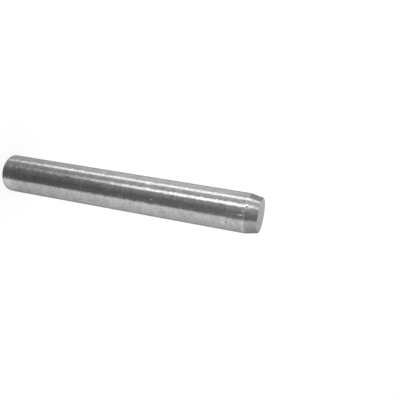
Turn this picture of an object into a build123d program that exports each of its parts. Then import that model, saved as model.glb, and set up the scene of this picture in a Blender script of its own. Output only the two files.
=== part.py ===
"""A plain headless pivot pin, turned from steel bar: square-cut at one end, tapered at the other.

Millimetres. The pin stands on its plain end, whose centre is the origin, and +Z runs along the pin
to the tapered tip.
"""

import os
from math import radians, tan

from build123d import *

# Driving dimensions
pin_diameter = 25.4
pin_length = 179.6
plain_edge_radius = 0.4
taper_length = 7.7
taper_angle = 12.4
shoulder_radius = 8.0
tip_edge_radius = 0.5

# Sizes that follow from them
pin_radius = pin_diameter / 2
tip_radius = pin_radius - taper_length * tan(radians(taper_angle))
shoulder_z = pin_length - taper_length

with BuildPart() as pivot_pin:
    # The lathe's profile: half of the pin's length section, from the axis out.
    with BuildSketch(Plane.XZ) as turned_profile:
        with BuildLine():
            Polyline(
                (0, 0),
                (pin_radius, 0),
                (pin_radius, shoulder_z),
                (tip_radius, pin_length),
                (0, pin_length),
                close=True,
            )
        make_face()
        plain_corner, shoulder = turned_profile.vertices().group_by(Axis.X)[-1].sort_by(Axis.Y)
        tip_corner = turned_profile.vertices().group_by(Axis.X)[-2][0]
        # Both ends have their sharp corner taken off. Use has rounded the one between shank and taper.
        fillet(plain_corner, plain_edge_radius)
        fillet(shoulder, shoulder_radius)
        fillet(tip_corner, tip_edge_radius)
    revolve(axis=Axis.Z)

pivot_pin.part.label = "pivot_pin"

os.makedirs("parts", exist_ok=True)
export_step(pivot_pin.part, "parts/pivot_pin.step")
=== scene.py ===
"""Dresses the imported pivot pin: its worn, turned steel, a pale floor, studio light and the camera.

Metres and radians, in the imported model's frame: the pin stands on its plain end and +Z runs to the
tapered tip. A bearing is an angle round the pin, from the side that faces the camera (-Y) towards
-X. The tables give bearings and elevations in degrees.
"""

import math

import bpy
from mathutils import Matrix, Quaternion, Vector, noise


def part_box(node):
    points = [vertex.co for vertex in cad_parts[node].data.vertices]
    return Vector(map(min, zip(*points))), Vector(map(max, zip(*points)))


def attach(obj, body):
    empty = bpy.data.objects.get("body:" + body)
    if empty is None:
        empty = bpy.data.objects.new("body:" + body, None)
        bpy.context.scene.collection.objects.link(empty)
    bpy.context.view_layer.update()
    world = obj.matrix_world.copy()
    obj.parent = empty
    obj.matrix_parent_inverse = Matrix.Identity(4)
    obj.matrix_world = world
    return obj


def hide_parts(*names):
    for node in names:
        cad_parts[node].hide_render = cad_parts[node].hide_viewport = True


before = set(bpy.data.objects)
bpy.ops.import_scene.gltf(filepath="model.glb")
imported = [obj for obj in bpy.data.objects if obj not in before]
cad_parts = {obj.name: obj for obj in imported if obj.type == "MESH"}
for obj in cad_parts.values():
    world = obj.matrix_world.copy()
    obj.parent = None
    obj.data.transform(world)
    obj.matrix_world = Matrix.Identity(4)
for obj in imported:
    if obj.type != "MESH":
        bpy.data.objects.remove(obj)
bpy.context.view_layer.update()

MM = 0.001
UP = Vector((0, 0, 1))

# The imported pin's radius and length, and the sizes of its ends as the part's source has them
_, pin_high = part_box("pivot_pin")
pin_radius = pin_high.x
pin_length = pin_high.z
plain_edge = 0.4 * MM
taper_length = 7.7 * MM
taper_angle = math.radians(12.4)
shoulder_radius = 8.0 * MM
tip_edge = 0.5 * MM
shoulder_height = pin_length - taper_length

# The plain end's corner is worn away by this much at this bearing, over this much of the shank
WORN_DEPTH = 0.5 * MM
WORN_BEARING = math.radians(-85)
WORN_LENGTH = 5.0 * MM

# The waves that turning leaves in the skin, in two kinds: their heights, and how fast they change
# per metre across the pin and along it. The shift keeps the two kinds apart
WAVE_HEIGHT = 0.035 * MM
RIPPLE_HEIGHT = 0.01 * MM
PACE_ACROSS = 170
WAVE_PACE = 240
RIPPLE_PACE = 620
RIPPLE_SHIFT = 50
# Across the ends the waves fade to nothing at the middle, from this share of the radius
FULL_WAVES = 0.5

# How finely the skin is meshed, and the angle from which an edge of it is shaded sharp
STEPS_AROUND = 224
STEP_ALONG = 0.62 * MM
ARC_STEPS = 6
SHARP_ANGLE = math.radians(28)


def direction(bearing):
    """The level unit vector at a bearing."""
    return Vector((-math.sin(bearing), -math.cos(bearing), 0))


# Turned profile


def rounded(before, corner, after, radius):
    """The arc that rounds a corner of the profile, as points in order."""
    back, onward = (before - corner).normalized(), (after - corner).normalized()
    half = back.angle(onward) / 2
    centre = corner + (back + onward).normalized() * radius / math.sin(half)
    first = (corner + back * radius / math.tan(half) - centre).normalized()
    last = (corner + onward * radius / math.tan(half) - centre).normalized()
    return [centre + radius * first.slerp(last, i / ARC_STEPS) for i in range(ARC_STEPS + 1)]


def stretch(start, end):
    """Points between two ends of a straight run, about STEP_ALONG apart, without the ends."""
    steps = max(1, round((end - start).length / STEP_ALONG))
    return [start.lerp(end, i / steps) for i in range(1, steps)]


def turned_profile():
    """(radius, height) from the middle of the plain end, out, up and in to the tip's middle."""
    tip_radius = pin_radius - taper_length * math.tan(taper_angle)
    start, end = Vector((0, 0)), Vector((0, pin_length))
    plain_corner = Vector((pin_radius, 0))
    shoulder = Vector((pin_radius, shoulder_height))
    tip_corner = Vector((tip_radius, pin_length))
    corners = [
        rounded(start, plain_corner, shoulder, plain_edge),
        rounded(plain_corner, shoulder, tip_corner, shoulder_radius),
        rounded(shoulder, tip_corner, end, tip_edge),
    ]
    profile = [start]
    for arc in corners:
        profile += stretch(profile[-1], arc[0]) + arc
    return profile + stretch(profile[-1], end) + [end]


def lathe(name, profile, steps, offset):
    """A closed mesh: the profile turned about Z. offset(point, height) moves a point's radius."""
    points, faces = [], []
    for radius, height in profile[1:-1]:
        for i in range(steps):
            out = direction(2 * math.pi * i / steps)
            points.append(out * (radius + offset(out * radius, height)) + UP * height)
    rows = len(profile) - 2
    for row in range(rows - 1):
        for i in range(steps):
            here, beside = row * steps + i, row * steps + (i + 1) % steps
            faces.append((here, here + steps, beside + steps, beside))
    for row, height, turn in ((0, profile[0].y, 1), (rows - 1, profile[-1].y, -1)):
        middle = len(points)
        points.append(UP * height)
        for i in range(steps):
            rim = (row * steps + i, row * steps + (i + 1) % steps)[::turn]
            faces.append((middle, *rim))
    mesh = bpy.data.meshes.new(name)
    mesh.from_pydata(points, [], faces)
    mesh.validate()
    return mesh


# Skin


def skin_offset(point, height):
    """How far the skin stands off the true radius: the waves of turning and one worn corner."""
    across = point * PACE_ACROSS
    wave = noise.noise(Vector((across.x, across.y, height * WAVE_PACE)))
    ripple = noise.noise(Vector((across.x, across.y, height * RIPPLE_PACE + RIPPLE_SHIFT)))
    share = min(1.0, point.length / (FULL_WAVES * pin_radius))
    turned = share * (WAVE_HEIGHT * wave + RIPPLE_HEIGHT * ripple)
    facing = max(0.0, point.dot(direction(WORN_BEARING)) / pin_radius)
    near_end = max(0.0, 1.0 - height / WORN_LENGTH)
    return turned - WORN_DEPTH * facing**4 * near_end**2


def pin_skin(material):
    """The whole pin as one finely meshed skin."""
    mesh = lathe("pin_skin", turned_profile(), STEPS_AROUND, skin_offset)
    mesh.materials.append(material)
    mesh.shade_smooth()
    mesh.set_sharp_from_angle(angle=SHARP_ANGLE)
    skin = bpy.data.objects.new("pin_skin", mesh)
    bpy.context.scene.collection.objects.link(skin)
    return skin


# Node helpers


class Graph:
    """Adds shader nodes to one tree. All but node() return an output socket."""

    def __init__(self, tree):
        self.tree = tree
        tree.nodes.clear()

    def node(self, kind, inputs=(), **settings):
        """A new node with its settings made and its inputs linked to sockets or set to values."""
        made = self.tree.nodes.new(kind)
        for name, value in settings.items():
            setattr(made, name, value)
        for key, value in dict(inputs).items():
            if isinstance(value, bpy.types.NodeSocket):
                self.tree.links.new(value, made.inputs[key])
            else:
                made.inputs[key].default_value = value
        return made

    def math(self, operation, a, b=0.0):
        return self.node("ShaderNodeMath", {0: a, 1: b}, operation=operation).outputs[0]

    def vector(self, operation, inputs, output="Vector"):
        return self.node("ShaderNodeVectorMath", inputs, operation=operation).outputs[output]

    def between(self, value, start, end, low=0.0, high=1.0, kind="LINEAR"):
        """low up to start, high from end, and a straight line between."""
        inputs = {0: value, 1: start, 2: end, 3: low, 4: high}
        return self.node("ShaderNodeMapRange", inputs, interpolation_type=kind).outputs[0]

    def ease(self, value, start, end, low=0.0, high=1.0):
        """low up to start, high from end, and smooth between."""
        return self.between(value, start, end, low, high, "SMOOTHSTEP")

    def window(self, value, low, high, soft):
        """One between low and high, falling to zero over soft at both sides."""
        rise = self.ease(value, low - soft / 2, low + soft / 2)
        fall = self.ease(value, high - soft / 2, high + soft / 2, 1.0, 0.0)
        return self.math("MULTIPLY", rise, fall)

    def blend(self, start, *parts):
        """A starting value and the weighted parts added to it."""
        for part, weight in parts:
            start = self.math("ADD", start, self.math("MULTIPLY", part, weight))
        return start

    def noise(self, vector, scale, detail=2.0, roughness=0.5):
        inputs = {"Vector": vector, "Scale": scale, "Detail": detail, "Roughness": roughness}
        return self.node("ShaderNodeTexNoise", inputs).outputs[0]

    def combine(self, x, y, z):
        return self.node("ShaderNodeCombineXYZ", {0: x, 1: y, 2: z}).outputs[0]


# Steel

# Nicks in the steel, darkened with painted shade and dirt, spots painted lighter, and matt scar
# marks
# painted lighter as painted glints: bearing, and height and size in millimetres
NICKS = (
    (15, 172.2, 1.0),
    (10, 173.1, 0.6),
    (30, 169.5, 1.1),
    (48, 171.2, 0.6),
    (-36, 160.9, 0.8),
    (-32, 166.6, 0.4),
    (-16, 138.6, 0.5),
    (-42, 120.5, 0.35),
    (-37, 132.6, 0.4),
    (-41, 92.5, 0.4),
    (-41, 74.0, 0.5),
    (-63, 7.1, 0.8),
)
BRIGHT_SPOTS = (
    (-33, 162.4, 2.4),
    (-35, 165.3, 2.0),
    (-41, 158.6, 2.2),
    (-52, 171.0, 2.0),
    (-33, 170.0, 2.0),
    (-45, 3.0, 9.0),
    (-28, 3.0, 7.0),
    (-70, 3.5, 7.0),
)
SCARS_AND_GLINTS = (
    (-7, 169.9, 0.9),
    (-8, 168.4, 0.8),
    (3, 170.4, 0.6),
    (-8, 111.6, 0.6),
)
# A scar is this many times as long as it is wide
SCAR_LENGTH = 2.6
# The ring at the shoulder, painted lighter as a painted highlight where its rounding catches the
# light:
# from and to these heights in millimetres, and how softly
SHOULDER_HIGHLIGHT = (170.4, 171.8, 0.5)
# How far the spots' outlines wander, and the share of that in the painted highlight ring's
RAGGEDNESS = 1.6 * MM
RING_RAGGEDNESS = 0.4
# How high the marks stand in the steel, and how deep the pits and nicks go
MARK_HEIGHT = 0.055 * MM
DENT_DEPTH = 0.2 * MM


def steel_material():
    """Bare turned steel: feed marks all round, short scuffs, stains, pits and a few nicks, with
    painted shade in the nicks, a painted highlight round the shoulder and a painted glint on each
    scar.
    """
    material = bpy.data.materials.new("turned_steel")
    material.use_nodes = True
    g = Graph(material.node_tree)
    place = g.node("ShaderNodeTexCoord").outputs["Object"]
    x, y, z = g.node("ShaderNodeSeparateXYZ", {0: place}).outputs
    flat = g.combine(x, y, 0.0)
    radius = g.vector("LENGTH", {0: flat}, "Value")
    # How far the lathe's tool has come: up along the side and in across the ends
    feed = g.math("ADD", z, radius)

    def turned_noise(across, along, detail=2.0):
        """Noise drawn out along the tool's path, on the side and the ends alike.

        Its two scales are per metre across the pin and along the feed.
        """
        wide = g.vector("SCALE", {0: flat, "Scale": across})
        long = g.combine(0.0, 0.0, g.math("MULTIPLY", feed, along))
        return g.noise(g.vector("ADD", {0: wide, 1: long}), 1.0, detail)

    fine_marks = turned_noise(30, 2600, 1.0)
    broad_marks = turned_noise(45, 420)
    scuffs = turned_noise(600, 600)
    dashes = g.ease(turned_noise(250, 650), 0.52, 0.68)
    mottle = g.noise(place, 700, 3.0, 0.6)
    blotches = g.noise(place, 190, 2.0)
    patches = g.noise(place, 55, 4.0, 0.6)
    grit = g.noise(place, 1500, 2.0, 0.6)
    pits = g.math("MULTIPLY", g.ease(grit, 0.64, 0.72), g.ease(patches, 0.45, 0.62))
    ragged = g.math("MULTIPLY", g.math("SUBTRACT", mottle, 0.5), RAGGEDNESS)

    def spots(table, length=1.0):
        """One at the middle of each spot of a table, falling to zero at its ragged edge.

        A length over one draws the spots out along the pin.
        """
        squeezed = g.vector("MULTIPLY", {0: place, 1: (1, 1, 1 / length)})
        spotted = 0.0
        for bearing, height, size in table:
            inward = max(0.0, height * MM - shoulder_height) * math.tan(taper_angle)
            out = direction(math.radians(bearing)) * (pin_radius - inward)
            centre = out + UP * height * MM / length
            away = g.vector("DISTANCE", {0: squeezed, 1: centre}, "Value")
            ragged_away = g.math("ADD", away, ragged)
            spotted = g.math("ADD", spotted, g.ease(ragged_away, 0.0, size * MM, 1.0, 0.0))
        return spotted

    nicks = spots(NICKS)
    # Spots painted lighter
    lighter_spots = spots(BRIGHT_SPOTS)
    # Each scar is matt, and painted lighter as a painted glint
    scars_and_glints = spots(SCARS_AND_GLINTS, SCAR_LENGTH)
    ring_height = g.math("ADD", z, g.math("MULTIPLY", ragged, RING_RAGGEDNESS))
    # The shoulder ring painted lighter: a painted highlight
    highlight_ring = g.window(ring_height, *(mm * MM for mm in SHOULDER_HIGHLIGHT))

    whole_tone = g.blend(
        0.13,
        (broad_marks, 0.06),
        (patches, 0.12),
        (blotches, 0.26),
        (scuffs, 0.18),
        (mottle, 0.26),
        (lighter_spots, 0.14),
        (highlight_ring, 0.10),
        (scars_and_glints, 0.35),
    )
    # Darker in the pits, and in the nicks with painted shade and dirt
    unshaded_and_clean = g.blend(1.0, (pits, -0.5), (nicks, -0.55))
    tone = g.math("MULTIPLY", whole_tone, unshaded_and_clean)
    colour = g.combine(tone, tone, tone)
    roughness = g.blend(0.10, (patches, 0.10), (pits, 0.2), (nicks, 0.5), (scars_and_glints, 0.5))

    marks = g.blend(0.0, (fine_marks, 0.1), (broad_marks, 0.10), (dashes, 0.6), (mottle, 0.9))
    marked = g.node(
        "ShaderNodeBump", {"Strength": 1.0, "Distance": MARK_HEIGHT, "Height": marks}
    ).outputs[0]
    dents = g.blend(0.0, (pits, -0.15), (nicks, -0.6))
    dented = g.node(
        "ShaderNodeBump",
        {"Strength": 1.0, "Distance": DENT_DEPTH, "Height": dents, "Normal": marked},
    ).outputs[0]
    tangent = g.node("ShaderNodeTangent", direction_type="RADIAL", axis="Z").outputs[0]
    shader = g.node(
        "ShaderNodeBsdfPrincipled",
        {
            "Base Color": colour,
            "Metallic": 1.0,
            "Roughness": roughness,
            "Normal": dented,
            "Anisotropic": 0.4,
            "Anisotropic Rotation": 0.25,
            "Tangent": tangent,
        },
    )
    g.node("ShaderNodeOutputMaterial", {"Surface": shader.outputs[0]})
    return material


# Studio

# The room round the pin. LAYERS are elevations, from near the floor to a little above level. Each
# row of ROOM gives a bearing and how bright the wall is there at each of them
LAYERS = (-31, -14, -9, 5)
ROOM = (
    (-180, 0.25, 0.25, 0.33, 0.55),
    (-172, 0.25, 0.25, 0.22, 0.15),
    (-150, 0.40, 0.40, 0.34, 0.16),
    (-120, 0.60, 0.60, 0.54, 0.38),
    (-50, 0.90, 0.85, 0.78, 0.60),
    (-38, 0.15, 0.20, 0.26, 0.20),
    (-5, 0.13, 0.15, 0.31, 0.25),
    (15, 0.20, 0.35, 0.46, 0.40),
    (60, 0.40, 0.55, 0.58, 0.65),
    (110, 0.65, 0.75, 0.64, 0.35),
    (140, 0.65, 0.75, 0.60, 0.20),
    (160, 0.25, 0.25, 0.24, 0.20),
    (173, 0.25, 0.25, 0.37, 0.70),
    (180, 0.25, 0.25, 0.33, 0.55),
)
# From and to these elevations, the room's brightness changes from and to these shares
NEAR_FLOOR = (-38, -24, 0.74, 1.0)
# From and to these elevations the walls pass into the upper room, which is this bright
UPPER_ROOM = (20, 34)
UPPER_SHADE = 0.75
# The dark side that the camera stands on: from and to these bearings, and how softly. It takes this
# share of the upper room's light, and ends from and to the elevations of DARK_TOP
DARK_SIDE = (-40, 24, 30)
DARK_SHARE = 0.75
DARK_TOP = (62, 80)
# Strip lamps: bearing, width, softness, elevation of the lower end, how softly it ends there,
# brightness, bow, and the elevation that the bow is measured from. A lamp's bearing grows by its
# bow for each squared degree from that elevation
STRIP_LAMPS = (
    (38.1, 14, 4, -24.2, 2, 1.40, 0.0035, -22),
    (38, 14, 4, -33.0, 10, 0.30, 0.0085, -7),
    (85, 16, 6, -35.0, 8, 1.08, 0.002, -7),
)
# From and to these elevations the lamps fade out at the top
LAMP_TOP = (4, 20)


def studio_world():
    """The room as the steel mirrors it, and plain white where the camera looks past the pin."""
    world = bpy.data.worlds.new("studio")
    world.use_nodes = True
    bpy.context.scene.world = world
    g = Graph(world.node_tree)
    toward = g.node("ShaderNodeTexCoord").outputs["Generated"]
    x, y, z = g.node("ShaderNodeSeparateXYZ", {0: toward}).outputs
    turn = g.math("ARCTAN2", g.math("MULTIPLY", x, -1.0), g.math("MULTIPLY", y, -1.0))
    bearing = g.math("DEGREES", turn)
    elevation = g.math("DEGREES", g.math("ARCSINE", z))

    def layer(column):
        """The room's brightness by bearing, from one column of ROOM."""
        circle = g.math("ADD", g.math("DIVIDE", bearing, 360.0), 0.5)
        ramp = g.node("ShaderNodeValToRGB", {0: circle})
        stops = ramp.color_ramp.elements
        for index, row in enumerate(ROOM):
            # A new ramp already has two stops.
            stop = stops[index] if index < 2 else stops.new(1.0)
            stop.position = row[0] / 360 + 0.5
            stop.color = (row[column],) * 3 + (1,)
        return ramp.outputs[0]

    walls = layer(1)
    for column, (lower, higher) in enumerate(zip(LAYERS, LAYERS[1:]), start=2):
        walls = g.between(elevation, lower, higher, walls, layer(column))
    walls = g.math("MULTIPLY", walls, g.ease(elevation, *NEAR_FLOOR))
    below_top = g.ease(elevation, *DARK_TOP, 1.0, 0.0)
    dark = g.math("MULTIPLY", g.window(bearing, *DARK_SIDE), below_top)
    upper = g.ease(dark, 0.0, 1.0, UPPER_SHADE, UPPER_SHADE * (1 - DARK_SHARE))
    light = g.between(g.ease(elevation, *UPPER_ROOM), 0.0, 1.0, walls, upper)
    under_lamp_top = g.ease(elevation, *LAMP_TOP, 1.0, 0.0)
    for middle, width, soft, lowest, fade, shade, bow, bow_middle in STRIP_LAMPS:
        off_middle = g.math("SUBTRACT", elevation, bow_middle)
        bowed = g.math("MULTIPLY", g.math("MULTIPLY", off_middle, off_middle), bow)
        straightened = g.math("SUBTRACT", bearing, bowed)
        across = g.window(straightened, middle - width / 2, middle + width / 2, soft)
        over_low_end = g.ease(elevation, lowest - fade / 2, lowest + fade / 2)
        along = g.math("MULTIPLY", over_low_end, under_lamp_top)
        lamp = g.math("MULTIPLY", g.math("MULTIPLY", across, along), shade)
        light = g.math("ADD", light, lamp)

    grey = g.combine(light, light, light)
    room = g.node("ShaderNodeBackground", {"Color": grey, "Strength": 1.0})
    white = g.node("ShaderNodeBackground", {"Color": (1, 1, 1, 1), "Strength": 1.0})
    mirrored = g.node("ShaderNodeLightPath").outputs["Is Glossy Ray"]
    both = g.node("ShaderNodeMixShader", {0: mirrored, 1: white.outputs[0], 2: room.outputs[0]})
    g.node("ShaderNodeOutputWorld", {"Surface": both.outputs[0]})


# Half the floor's width in metres, how pale it is, and how strongly it glows for the camera alone,
# so that it looks white and still shows the pin's shadow
FLOOR_HALF = 2.0
FLOOR_GREY = 0.28
FLOOR_GLOW = 0.74


def studio_floor():
    """A white floor under the plain end. The steel mirrors the room below it, not the floor."""
    material = bpy.data.materials.new("white_floor")
    material.use_nodes = True
    g = Graph(material.node_tree)
    lit = g.node("ShaderNodeBsdfDiffuse", {"Color": (FLOOR_GREY,) * 3 + (1,)})
    seen = g.node("ShaderNodeLightPath").outputs["Is Camera Ray"]
    strength = g.math("MULTIPLY", seen, FLOOR_GLOW)
    glow = g.node("ShaderNodeEmission", {"Color": (1, 1, 1, 1), "Strength": strength})
    both = g.node("ShaderNodeAddShader", {0: lit.outputs[0], 1: glow.outputs[0]})
    g.node("ShaderNodeOutputMaterial", {"Surface": both.outputs[0]})
    mesh = bpy.data.meshes.new("floor")
    signs = ((-1, -1), (1, -1), (1, 1), (-1, 1))
    corners = [(x * FLOOR_HALF, y * FLOOR_HALF, 0) for x, y in signs]
    mesh.from_pydata(corners, [], [(0, 1, 2, 3)])
    mesh.materials.append(material)
    floor = bpy.data.objects.new("floor", mesh)
    bpy.context.scene.collection.objects.link(floor)
    floor.visible_glossy = False
    floor.visible_shadow = False


# Camera

# Fitted to the pin's outline in the photograph. The lens and the sensor are in millimetres, and the
# nearest distance that the camera sees is in metres
CAMERA_PLACE = Vector((0, -319.87, 231.66)) * MM
CAMERA_AIM = Vector((-2.90, 0, 139.66)) * MM
CAMERA_ROLL = math.radians(99.653)
LENS = 47.0
SENSOR_WIDTH = 36
CLIP_START = 0.01
# Half a pixel of the photograph, as a share of its 400 pixels
HALF_PIXEL = 0.5 / 400


def studio_camera():
    """The photograph's view: from above the pin, turned so that the pin lies across the picture."""
    camera = bpy.data.objects.new("camera", bpy.data.cameras.new("camera"))
    look = (CAMERA_AIM - CAMERA_PLACE).to_track_quat("-Z", "Y")
    camera.rotation_mode = "QUATERNION"
    camera.rotation_quaternion = look @ Quaternion((0, 0, 1), CAMERA_ROLL)
    camera.location = CAMERA_PLACE
    camera.data.lens = LENS
    camera.data.sensor_width = SENSOR_WIDTH
    camera.data.shift_x = -HALF_PIXEL
    camera.data.shift_y = HALF_PIXEL
    camera.data.clip_start = CLIP_START
    bpy.context.scene.collection.objects.link(camera)
    bpy.context.scene.camera = camera


studio_camera()
studio_world()
studio_floor()

skin = pin_skin(steel_material())
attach(skin, "root")
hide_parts("pivot_pin")

bpy.context.scene.view_settings.view_transform = "Standard"
